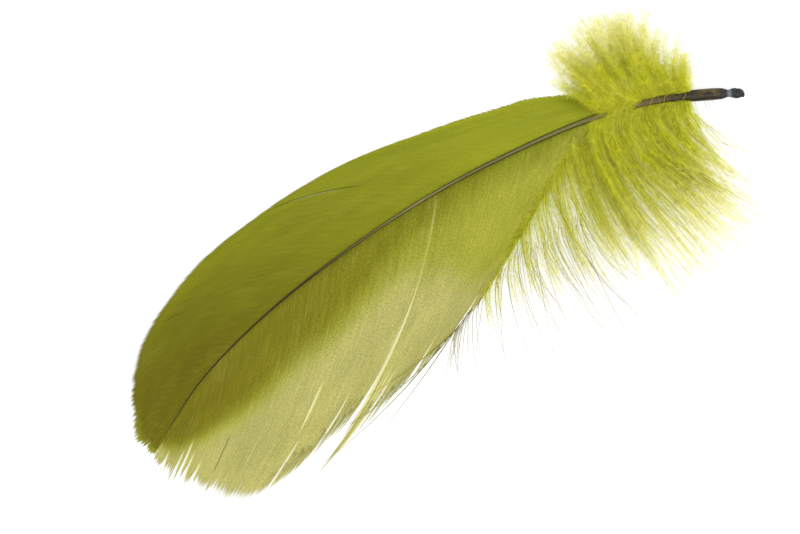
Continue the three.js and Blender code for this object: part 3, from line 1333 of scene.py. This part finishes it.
@dataclass
class Bunch:
    """Loose barbs on one side of the feather, with their stems, hairs and fluff."""

    fan: Fan
    stem_finish: DownFinish
    soft_finish: DownFinish
    softness: Softness
    name: str
    node: str
    count: int
    seed: int
    every: int = 1

    def stems(self, chance: np.random.Generator) -> Stems:
        """Returns the stems, which each kind of bunch lays out in its own way."""
        raise NotImplementedError

    def lanes(self, paths: Array, radius: Array, share: Array) -> Stems:
        """Returns strands of which each has a lane of its own on the map."""
        each = np.zeros((self.count, 1))
        return Stems(paths, radius + each, np.arange(self.count), self.count, share + each)

    def build(self) -> list[Piece]:
        """Builds the stems, their hairs and their fluff.

        Returns:
            The dressed pieces.
        """
        chance = np.random.default_rng(self.seed)
        soft, stems = self.softness, self.stems(chance)
        finish = self.soft_finish.material()
        numbers = np.arange(len(stems.paths))
        shown = stems.some(numbers[:: self.every], 1.0)
        made = [dress(shown.build(self.name + "_stems"), self.stem_finish.material(), self.node)]
        if self.every > 1:
            fine = stems.some(np.flatnonzero(numbers % self.every), FINE_STEM)
            made.append(dress(fine.build(self.name + "_fine"), finish, self.node))
        if soft.hairs:
            hairs = stems.hairs(chance, soft.hairs, soft.stray)
            made.append(dress(hairs.build(self.name + "_hairs_1"), finish, self.node))
        for number in range(soft.pieces):
            fluff = stems.fluff(chance, numbers[number :: soft.pieces], soft)
            made.append(dress(fluff.build(f"{self.name}_fluff_{number + 1}"), finish, self.node))
        return made


@dataclass
class Down(Bunch):
    """The fluffy barbs on one side of the foot of the feather."""

    steps: int = 16
    rise: float = 4.0
    clumped: float = 0.45
    layers: int = 3
    crossing: float = 7.0
    quick: float = 7.0
    lean_spread: float = 3.5
    fray_spread: float = 11.0
    sway: float = 0.6
    thick: float = 0.034
    end_radius: float = 0.014
    lowest: float = 0.15

    def clumps(self, chance: np.random.Generator, roots: Array) -> tuple[Array, Array, Array, Array]:
        """Sorts neighbouring stems into clumps that draw together towards their ends.

        Args:
            chance: the random numbers.
            roots: the distance of each stem's root from the feather's tip.

        Returns:
            For each stem its clump's root, the degrees that the clump leans, how long it is and
            how quickly it bends.
        """
        middle = roots.copy()
        lean, longer, quick = np.zeros(self.count), np.ones(self.count), np.ones(self.count)
        for layer in range(self.layers):
            members = np.arange(layer, self.count, self.layers)
            while len(members):
                group, members = np.split(members, [int(chance.integers(2, 7))])
                middle[group] = roots[group].mean()
                lean[group] = chance.normal(0, self.crossing)
                longer[group] = chance.normal(0.97, 0.08)
                quick[group] = self.quick * chance.lognormal(0, 0.22)
        return middle, lean, longer, quick

    def stems(self, chance: np.random.Generator) -> Stems:
        """Lays out the stems in clumps.

        Args:
            chance: the random numbers.

        Returns:
            The stems.
        """
        rows = self.fan.rows
        even = (np.arange(self.count) + 0.5) / self.count
        even = even + 0.45 * np.sin(math.tau * even) / math.tau
        even = np.clip(even + chance.normal(0, 0.004, self.count), 0, 1)
        roots = rows[0][0] + (rows[-1][0] - rows[0][0]) * even
        run = np.linspace(0, 1, self.steps)[None, :]
        clump, clump_lean, clump_long, quick = self.clumps(chance, roots)
        longer = (clump_long * (0.36 + 0.76 * chance.beta(2.4, 1.3, self.count)))[:, None]
        share = run * longer
        lean = chance.normal(0, self.lean_spread, self.count)
        fray = chance.normal(0, self.fray_spread, (self.count, 1))
        own = self.fan.sweep(roots[:, None], share, (0.6 * clump_lean + lean)[:, None], quick[:, None], fray)
        joined = self.fan.sweep(clump[:, None], share, clump_lean[:, None], quick[:, None])
        draw = self.clumped * smooth_step((run - 0.5) / 0.5)[..., None]
        draw = draw * chance.uniform(0.5, 1.1, (self.count, 1, 1))
        plan = own * (1 - draw) + joined * draw
        phase = chance.uniform(0, math.tau, (self.count, 1))
        waves = chance.uniform(0.8, 1.9, (self.count, 1))
        sway = chance.normal(0, self.sway, (self.count, 1)) * run
        sway = sway * np.sin(phase + waves * math.tau * run)
        plan = plan + quarter_turn(headings(plan)) * sway[..., None]
        shaft = self.fan.shaft.centre(roots)[:, 2:]
        layer = chance.uniform(0, 1, (self.count, 1))
        rest = 0.35 + 1.6 * layer
        ground = shaft + (rest - shaft) * smooth_step(run)
        bulge = self.rise * layer * np.sin(math.pi * run**0.8) + 0.3 * layer
        paths = raised(plan, np.maximum(ground + bulge, self.lowest))
        return self.lanes(paths, self.thick * (1 - run) ** 0.8 + self.end_radius, share)


@dataclass
class Fringe(Bunch):
    """The ends of the last web barbs, worked loose into soft hairs that curl towards the quill.

    Each row of loose gives a barb's distance from the tip, the share of it where it comes loose, the
    length of the loose end, and how far that end kinks there and curls further on, in degrees.
    """

    loose: Rows = ()
    thick: float = 0.045
    steps: int = 18
    clumped: float = 0.0
    kink_length: float = 5.0
    kink_spread: float = 5.0
    curl_spread: float = 9.0
    end_radius: float = 0.015
    rest: float = 0.35
    rise: float = 2.4

    def drawn_together(self, chance: np.random.Generator, plan: Array, run: Array) -> Array:
        """Draws neighbouring ends together.

        Args:
            chance: the random numbers.
            plan: the points of the ends, (N, M, 2).
            run: how far along its end each point is.

        Returns:
            The points, moved.
        """
        sizes = chance.integers(3, 9, self.count)
        group = np.searchsorted(np.cumsum(sizes), np.arange(self.count), side="right")
        total = np.zeros((group.max() + 1, *plan.shape[1:]))
        np.add.at(total, group, plan)
        middle = (total / np.bincount(group)[:, None, None])[group]
        draw = self.clumped * smooth_step((run - 0.1) / 0.6)[..., None]
        return plan * (1 - draw) + middle * draw

    def stems(self, chance: np.random.Generator) -> Stems:
        """Lays out the loose ends.

        Args:
            chance: the random numbers.

        Returns:
            The stems.
        """
        first, last = self.loose[0][0], self.loose[-1][0]
        even = (np.arange(self.count) + chance.uniform(0, 1, self.count)) / self.count
        root = first + (last - first) * even
        start, reach, kink, curl = np.moveaxis(Curve(self.loose).at(root), -1, 0)
        start = start + chance.normal(0, 0.035, self.count)
        both = self.fan.plan(root[:, None], np.stack([start - 0.02, start], 1))
        heading = both[:, 1] - both[:, 0]
        angle = np.arctan2(heading[:, 1], heading[:, 0])[:, None]
        length = (reach * np.clip(chance.normal(0.88, 0.2, self.count), 0.4, 1.25))[:, None]
        kink = (kink + chance.normal(0, self.kink_spread, self.count))[:, None]
        curl = (curl + chance.normal(0, self.curl_spread, self.count))[:, None]
        run = np.linspace(0, 1, self.steps)[None, :]
        bend = kink * smooth_step(run * length / self.kink_length) + curl * run**1.3
        facing = angle - self.fan.side.value * np.radians(bend)
        move = np.stack([np.cos(facing), np.sin(facing)], -1) * (length / (self.steps - 1))[..., None]
        plan = both[:, 1][:, None] + np.cumsum(move, axis=1) - move[:, :1]
        plan = self.drawn_together(chance, plan, run)
        foot = np.maximum(0, self.fan.shaft.centre(root)[:, 2:] - WEB_DROP)
        foot = foot * (1 - smooth_step(start[:, None] / 0.9))
        layer = chance.uniform(0, 1, (self.count, 1))
        ground = foot * (1 - run) + self.rest
        height = ground + layer * self.rise * np.sin(math.pi * run**0.8) + 0.6 * layer * run
        radius = self.thick * (1 - run) ** 0.8 + self.end_radius
        return self.lanes(raised(plan, height), radius, 0.35 + 0.65 * run)


@dataclass
class Wisps(Bunch):
    """Loose bits of down that lie across the shaft."""

    first: float = 125.0
    last: float = 133.0
    reach: tuple[float, float] = (3.5, 8.0)
    lean: float = 60.0
    lean_spread: float = 26.0
    steps: int = 12
    droop: float = 0.09
    lowest: float = 0.4
    thick: float = 0.03
    end_radius: float = 0.014

    def stems(self, chance: np.random.Generator) -> Stems:
        """Lays out the bits of down.

        Args:
            chance: the random numbers.

        Returns:
            The stems.
        """
        at = np.sort(chance.uniform(self.first, self.last, self.count))
        shaft = self.fan.shaft
        centre, radius = shaft.centre(at), shaft.radius(at)
        lean = self.lean + chance.normal(0, self.lean_spread, self.count)
        along = self.fan.heading(at, np.radians(lean))
        length = chance.uniform(*self.reach, self.count)[:, None, None]
        run = np.linspace(-0.5, 0.5, self.steps)[None, :, None]
        bow = chance.normal(0, 0.22, (self.count, 1, 1)) * length * (0.25 - run**2)
        slide = chance.normal(0, 1.0, (self.count, 1, 1))
        line = centre[:, None, :2] + along[:, None] * (length * run + slide)
        plan = line + quarter_turn(along)[:, None] * bow
        crown = (centre[:, 2] + radius + chance.uniform(0.1, 0.7, self.count))[:, None]
        run, length = run[..., 0], length[..., 0]
        height = np.maximum(crown - self.droop * (run * length) ** 2, self.lowest)
        radius = self.thick * (1 - np.abs(2 * run)) ** 0.7 + self.end_radius
        return self.lanes(raised(plan, height), radius, 0.25 + 0.3 * (run + 0.5))


@dataclass
class Table:
    """The pale table that the feather lies on."""

    half: float = 1.5
    drop: float = 0.0003
    glow: float = 0.72
    shades: tuple[float, float] = (0.29, 0.31)
    grain: float = 900.0

    def build(self) -> Piece:
        """Builds the table.

        Returns:
            The table top.
        """
        mesh = bmesh.new()
        bmesh.ops.create_grid(mesh, x_segments=1, y_segments=1, size=self.half)
        bmesh.ops.translate(mesh, verts=mesh.verts, vec=(0, 0, -self.drop))
        top = from_bmesh("table", mesh)
        nodes, material = Nodes.fresh("white_paper")
        place = nodes.add("ShaderNodeTexCoord").outputs["Object"]
        dark, light = self.shades
        colour = nodes.mix(nodes.noise(place, self.grain, 3.0), (dark,) * 3, (light,) * 3)
        looks = {"Base Color": colour, "Roughness": 0.9, "Emission Strength": self.glow}
        face = nodes.add("ShaderNodeBsdfPrincipled", {**looks, "Emission Color": (1.0, 1.0, 1.0)})
        nodes.add("ShaderNodeOutputMaterial", {0: face.outputs[0]})
        top.data.materials.append(material)
        return top


@dataclass
class Studio:
    """Soft light from all round and a camera that looks straight down.

    Each light is its place in metres, its width in metres and its power in watts. The camera's
    middle, view width and focus height are in millimetres.
    """

    shaft: ShaftLine
    middle: tuple[float, float] = (64.63, 5.46)
    roll: float = 30.569
    view_width: float = 180.0
    lens: float = 120.0
    film: float = 36.0
    focus_height: float = 3.0
    lights: tuple[tuple[tuple[float, float, float], float, float], ...] = (
        ((0.35, -0.55, 0.9), 1.1, 8.0), ((-0.7, 0.5, 0.9), 1.2, 4.0), ((0.8, 0.6, 0.7), 0.9, 3.0),
    )
    ambient: float = 0.75

    def light(self) -> None:
        """Sets the soft light."""
        world = bpy.data.worlds.new("studio")
        world.use_nodes = True
        world.node_tree.nodes["Background"].inputs[0].default_value = (1, 1, 1, 1)
        world.node_tree.nodes["Background"].inputs[1].default_value = self.ambient
        bpy.context.scene.world = world
        for number, (place, size, power) in enumerate(self.lights):
            data = bpy.data.lights.new(f"softbox_{number + 1}", "AREA")
            data.shape, data.size, data.energy = "DISK", size, power
            lamp = linked(data.name, data)
            lamp.location = place
            lamp.rotation_euler = (-lamp.location).to_track_quat("-Z", "Y").to_euler()
            lamp.visible_camera = False

    def build(self) -> Piece:
        """Sets the lights and the camera.

        Returns:
            The camera.
        """
        self.light()
        data = bpy.data.cameras.new("camera")
        data.lens, data.sensor_width, data.sensor_fit = self.lens, self.film, "HORIZONTAL"
        data.clip_start, data.clip_end = 0.01, 20.0
        camera = linked("camera", data)
        away = self.view_width * self.lens / self.film + self.focus_height
        spot = np.array(self.middle) + np.array(self.shaft.shift)
        camera.location = (spot[0] * MM, spot[1] * MM, away * MM)
        camera.rotation_euler = (0, 0, -math.radians(self.roll))
        scene = bpy.context.scene
        scene.camera = camera
        scene.view_settings.view_transform = "Standard"
        scene.view_settings.look = "None"
        scene.view_settings.exposure = 0.0
        scene.view_settings.gamma = 1.0
        return camera


@dataclass
class Feather:
    """The whole feather."""

    line: ShaftLine

    def quill(self) -> Shaft:
        """Gives the shaft the colours of its flanks and of its ridge, a painted highlight, from tip to end.

        Returns:
            The shaft.
        """
        finish = ShaftFinish(
            name="quill_horn",
            along=(
                (0.0, (0.03, 0.03, 0.006)), (0.3, (0.02, 0.018, 0.005)),
                (0.6, (0.02, 0.018, 0.006)), (0.8, (0.035, 0.03, 0.01)),
                (0.88, (0.03, 0.021, 0.009)), (0.94, (0.014, 0.01, 0.006)),
                (1.0, (0.012, 0.011, 0.008)),
            ),
            # A painted highlight along the crown, brightest round the middle of the shaft.
            ridge=(
                (0.0, (0.018, 0.016, 0.004)), (0.3, (0.024, 0.02, 0.007)),
                (0.42, (0.11, 0.1, 0.035)), (0.5, (0.2, 0.175, 0.07)), (0.58, (0.12, 0.108, 0.04)),
                (0.74, (0.132, 0.122, 0.032)), (0.86, (0.11, 0.08, 0.026)),
                (0.91, (0.04, 0.028, 0.013)), (0.95, (0.022, 0.016, 0.01)),
                (1.0, (0.022, 0.02, 0.013)),
            ),
            slate=(0.018, 0.021, 0.022),
            amber=(0.1, 0.072, 0.016),
            pith=(0.02, 0.015, 0.008),
            ring=(0.15, 0.155, 0.19),
        )
        return Shaft(self.line, finish)

    def webs(self) -> list[Web]:
        """Gives the two webs their colours, splits and ragged ends.

        Returns:
            The left and the right web.
        """
        left = Web(
            fan=Fan(self.line, Side.LEFT, LEFT_WEB),
            finish=WebFinish(
                name="olive_web",
                tip=(0.163, 0.149, 0.0085),
                quill=(0.33, 0.355, 0.02),
                lit=(0.34, 0.35, 0.03),
                pale=(0.4, 0.4, 0.07),
                painted_glint=(0.6, 0.6, 0.25),
                rim=(0.6, 0.6, 0.2),
                shade=(0.06, 0.055, 0.004),
                barbs=236,
                streaks=0.04,
                stipple=0.1,
                through=0.3,
            ),
            name="web_left_barbs",
            slot="web_left",
            node="vane_left",
            splits=(
                Split(84, ((0.42, 0), (0.52, 0.3), (0.8, 0.36), (0.95, 0)), 2.0, shaded=True),
                Split(46, ((0.7, 0), (0.76, 0.12), (0.84, 0.1), (0.9, 0)), 1.5, shaded=True),
            ),
            tufts=(),
            zones=((0, 0.84, 1.1), (8, 0.9, 1.12), (20, 1.02, 1.3), (117, 1.15, 1.4)),
            ragged=(
                (1, 0.04, 0.3, 0.18), (10, 0.025, 0.16, 0.15), (22, 0.014, 0.07, 0.15),
                (45, 0.006, 0.04, 0.15), (117, 0.008, 0.04, 0.15),
            ),
            kept=((0, 1), (126, 1)),
            seed=11,
        )
        long_split = (
            (0.02, 0), (0.06, 0.05), (0.3, 0.06), (0.45, 0.12), (0.57, 0.3), (0.8, 0.38),
            (1.0, 0.9),
        )
        right = Web(
            fan=Fan(self.line, Side.RIGHT, RIGHT_WEB),
            finish=WebFinish(
                name="lime_web",
                tip=(0.225, 0.202, 0.013),
                quill=(0.25, 0.262, 0.016),
                lit=(0.41, 0.415, 0.05),
                pale=(0.53, 0.505, 0.17),
                painted_glint=(0.8, 0.78, 0.5),
                rim=(0.85, 0.83, 0.32),
                shade=(0.12, 0.11, 0.02),
                barbs=248,
                streaks=0.07,
                stipple=0.2,
                through=0.35,
            ),
            name="web_right_barbs",
            slot="web_right",
            node="vane_right",
            splits=(
                Split(82.5, long_split, 2.4),
                Split(84.1, ((0.76, 0), (0.88, 0.22), (1.0, 0.5)), 0.7),
                Split(85.3, ((0.72, 0), (0.86, 0.26), (1.0, 0.6)), 0.7),
                Split(86.4, ((0.78, 0), (0.9, 0.25), (1.0, 0.55)), 0.7),
                Split(87.6, ((0.8, 0), (0.92, 0.3), (1.0, 0.6)), 1.2),
                Split(89.5, ((0.88, 0), (0.95, 0.25), (1.0, 0.5)), 1.2),
                Split(74, ((0.76, 0), (0.84, 0.2), (1.0, 0.5)), 1.8),
                Split(62.5, ((0.84, 0), (0.9, 0.25), (1.0, 0.5)), 1.8),
                Split(60.8, ((0.58, 0), (0.64, 0.26), (0.76, 0.16), (0.84, 0), (1.0, 0)), 1.6),
                Split(33, ((0.68, 0), (0.76, 0.3), (0.88, 0.3), (0.94, 0)), 1.6, shaded=True),
                Split(16, ((0.74, 0), (0.86, 0.35), (1.0, 0.7)), 1.2),
                Split(18.6, ((0.66, 0), (0.8, 0.45), (1.0, 0.9)), 1.2),
                Split(21.5, ((0.76, 0), (0.88, 0.35), (1.0, 0.8)), 1.2),
                Split(26, ((0.86, 0), (0.93, 0.35), (1.0, 0.7)), 1.4),
                Split(108.5, ((0.8, 0), (0.9, 0.3), (1.0, 0.9)), 1.8),
                Split(98, ((0.8, 0), (0.9, 0.2), (1.0, 0.6)), 1.8),
                Split(7.5, ((0.7, 0), (0.85, 0.3), (1.0, 0.7)), 1.4),
            ),
            tufts=(Tuft(83.2, 87.4, 0.62, 0.18, 0.4),),
            zones=(
                (1, 0.62, 0.7), (12, 0.68, 0.77), (20, 0.65, 0.75), (30, 0.56, 0.67),
                (40, 0.47, 0.59), (50, 0.36, 0.45), (60, 0.31, 0.4), (70, 0.22, 0.33),
                (80, 0.17, 0.34), (90, 0.13, 0.4), (104, 0.1, 0.66), (118, 0.1, 0.78),
            ),
            ragged=(
                (1, 0.07, 0.3, 0.3), (12, 0.045, 0.2, 0.28), (25, 0.02, 0.1, 0.22),
                (45, 0.01, 0.07, 0.16), (70, 0.01, 0.07, 0.18), (80, 0.03, 0.16, 0.4),
                (85, 0.055, 0.22, 0.4), (92, 0.035, 0.16, 0.4), (104, 0.02, 0.08, 0.3),
                (112, 0.03, 0.12, 0.3), (115, 0.1, 0.5, 0.35), (128, 0.16, 0.7, 0.4),
            ),
            kept=(
                (0, 1), (111, 1), (112.5, 0.98), (113.6, 0.62), (115.5, 0.42), (118, 0.3),
                (122, 0.34), (128, 0.42),
            ),
            seed=23,
        )
        return [left, right]

    def fluff(self) -> list[Bunch]:
        """Lists the down, the loosened ends of the right web and the stray hairs.

        Returns:
            The bunches.
        """
        # The deep, bright and pale colour of each finish, its stems, and the light it lets through.
        stem = DownFinish(
            "down_stems", (0.19, 0.185, 0.008), (0.34, 0.335, 0.015), (0.42, 0.41, 0.07), 100, 0.3
        )
        soft = DownFinish(
            "down_fluff", (0.79, 0.8, 0.055), (0.9, 0.9, 0.115), (0.96, 0.945, 0.52), 100, 0.68
        )
        mist = DownFinish(
            "fringe_fluff", (0.77, 0.78, 0.06), (0.87, 0.875, 0.11), (0.94, 0.925, 0.45), 100, 0.66
        )
        straw = DownFinish(
            "loose_ends", (0.3, 0.28, 0.08), (0.48, 0.46, 0.18), (0.64, 0.62, 0.36), 40, 0.4
        )
        left = Fan(self.line, Side.LEFT, LEFT_DOWN)
        right = Fan(self.line, Side.RIGHT, RIGHT_DOWN)
        web = Fan(self.line, Side.RIGHT, RIGHT_WEB)
        hang = Fan(self.line, Side.RIGHT, QUILL_HAIRS)
        left_soft = Softness(200, 1.6, 28000, 2, (2.8, 1.8), (20, 95))
        right_soft = Softness(300, 1.4, 27000, 3, (2.7, 0.8), (16, 75), 1.0)
        ends_soft = Softness(200, 1.3, 31000, 1, (2.5, 0.9), (18, 80), 0.9)
        cross_soft = Softness(60, 1.0, 2600, 1, (1.7, 1.2), (20, 70))
        bare = Softness()
        ends = (
            (112.0, 0.86, 10, 28, 18), (112.6, 0.72, 14, 28, 18), (113.2, 0.53, 18, 27, 18),
            (114.2, 0.43, 23, 27, 18), (115.5, 0.32, 27, 28, 20), (118, 0.21, 30, 28, 24),
            (122, 0.24, 32, 27, 28), (127, 0.3, 31, 24, 34),
        )
        whiskers = (
            (108, 0.98, 13, 22, 6), (111.2, 0.97, 18, 26, 10), (112.5, 0.88, 20, 28, 24),
            (114, 0.74, 25, 26, 34), (118, 0.8, 30, 34, 24), (124, 0.9, 27, 36, 18),
        )
        edge = (
            (60, 0.97, 5, -6, -8), (76, 0.96, 7, -7, -10), (84, 0.94, 9, -4, -8),
            (90, 0.96, 9, -8, -14), (97, 0.97, 8, -10, -18),
        )
        border = ((103, 0.97, 30, -8, -10), (109.5, 0.97, 47, -8, -10))
        under = ((144, 0.02, 8, 0, 4), (150, 0.02, 9, 0, 2))
        down, vane = "down_right", "vane_right"
        # The fan, two finishes and softness of each bunch; its name and CAD node; its count and seed;
        # and how many stems there are for each thick one.
        return [
            Down(left, stem, soft, left_soft, "down_left", "down_left", 240, 31, 5, quick=3.0, crossing=12.0),
            Down(right, stem, soft, right_soft, "down_right", down, 360, 41, 3, clumped=0.7),
            Fringe(web, stem, mist, ends_soft, "fringe_right", down, 230, 51, 3, ends, 0.03, clumped=0.6),
            Fringe(web, straw, straw, bare, "whiskers_right", down, 70, 61, loose=whiskers, thick=0.045),
            Fringe(web, straw, straw, bare, "edge_strands", vane, 36, 71, loose=edge, thick=0.035),
            Fringe(web, stem, stem, bare, "long_strands", vane, 4, 75, loose=border, thick=0.1),
            Fringe(hang, straw, straw, bare, "quill_hairs", down, 5, 81, loose=under, thick=0.01),
            Wisps(right, soft, soft, cross_soft, "wisps_shaft", down, 42, 91, last=131.5),
            Wisps(right, soft, soft, bare, "wisps_quill", down, 4, 95, first=134, last=144, reach=(3, 6)),
        ]


def main() -> None:
    """Builds the feather in order and notes each piece."""
    logging.basicConfig(level=logging.INFO, format="%(name)s %(message)s")
    line = ShaftLine.in_frame()
    LOG.info("shaft line shifted by %.3f, %.3f mm", *line.shift)
    feather = Feather(line)
    Table().build()
    Studio(line).build()
    for part in (feather.quill(), *feather.webs(), *feather.fluff()):
        part.build()


if __name__ == "__main__":
    main()
